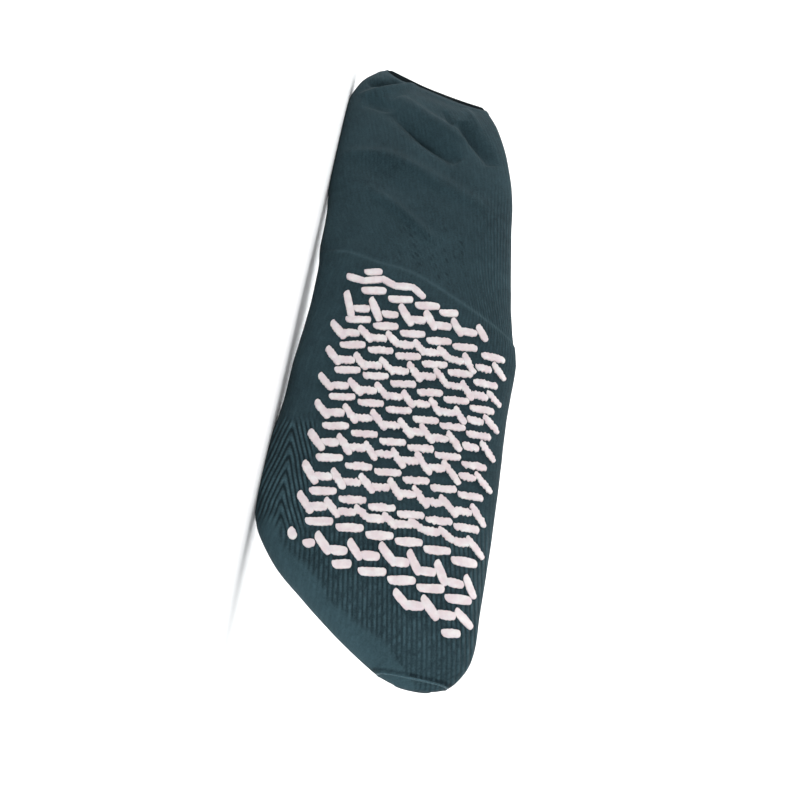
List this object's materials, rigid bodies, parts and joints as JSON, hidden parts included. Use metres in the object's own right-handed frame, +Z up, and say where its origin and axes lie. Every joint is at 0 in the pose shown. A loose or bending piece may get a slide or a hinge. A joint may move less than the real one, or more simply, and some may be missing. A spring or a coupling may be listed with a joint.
{
  "type": "slipper sock",
  "caption": "Empty, slack knitted slipper sock on its side, with a plain leg, heel pocket, closed toe and raised grip dashes over the sole.",
  "frame": {"origin": "middle of the sock's bounding box on the floor plane it lies on", "axes": "+X from the open mouth to the toe, -Y out of the gripped sole, +Y out of the instep, +Z up from the floor"},
  "size_m": [0.367, 0.0496, 0.113],
  "materials": {
    "knit": "matte dark slate-teal rib knit",
    "grip_print": "satin pinkish-white raised print"
  },
  "bodies": {
    "root": {"grip_bars_01": "grip_print", "grip_bars_02": "grip_print", "grip_bars_03": "grip_print", "grip_bars_04": "grip_print", "grip_bars_05": "grip_print", "grip_bars_06": "grip_print", "grip_bars_07": "grip_print", "grip_bars_08": "grip_print", "grip_bars_09": "grip_print", "grip_bars_10": "grip_print", "grip_bars_11": "grip_print", "grip_bars_12": "grip_print", "grip_dot_1": "grip_print", "grip_dot_2": "grip_print", "grip_wave_heel": "grip_print", "grip_zigzag_02": "grip_print", "grip_zigzag_03": "grip_print", "grip_zigzag_04": "grip_print", "grip_zigzag_05": "grip_print", "grip_zigzag_06": "grip_print", "grip_zigzag_07": "grip_print", "grip_zigzag_08": "grip_print", "grip_zigzag_09": "grip_print", "grip_zigzag_10": "grip_print", "grip_zigzag_11": "grip_print", "knit_body": "knit", "toe_seam": "knit"}
  },
  "joints": []
}
